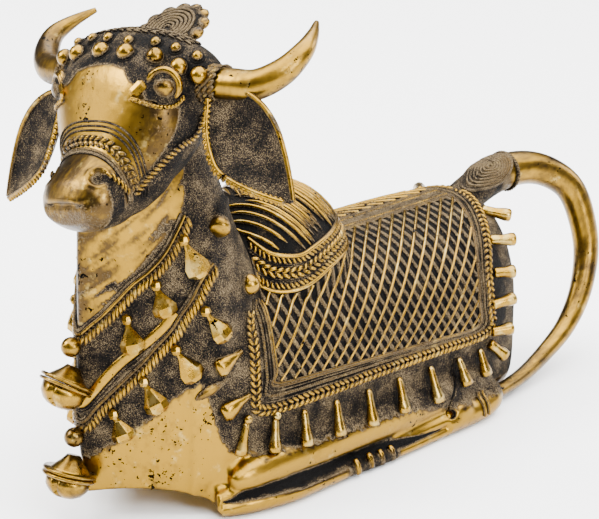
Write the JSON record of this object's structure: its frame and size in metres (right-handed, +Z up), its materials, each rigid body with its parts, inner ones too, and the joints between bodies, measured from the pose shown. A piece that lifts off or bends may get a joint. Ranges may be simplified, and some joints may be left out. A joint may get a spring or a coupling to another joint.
{
  "type": "nandi bull figure",
  "caption": "Resting bull figure cast in brass, with a saddle cloth, garlands, bells, curved horns and a looped tail.",
  "frame": {"origin": "middle of the box round the casting, at the level of its underside", "axes": "+Z up, the bull faces -Y, its left flank looks to +X"},
  "size_m": [0.191, 0.3792, 0.2415],
  "materials": {
    "cast_brass": "polished high places over a dark granular patina"
  },
  "bodies": {
    "root": {"nandi_bull": "cast_brass"}
  },
  "joints": []
}
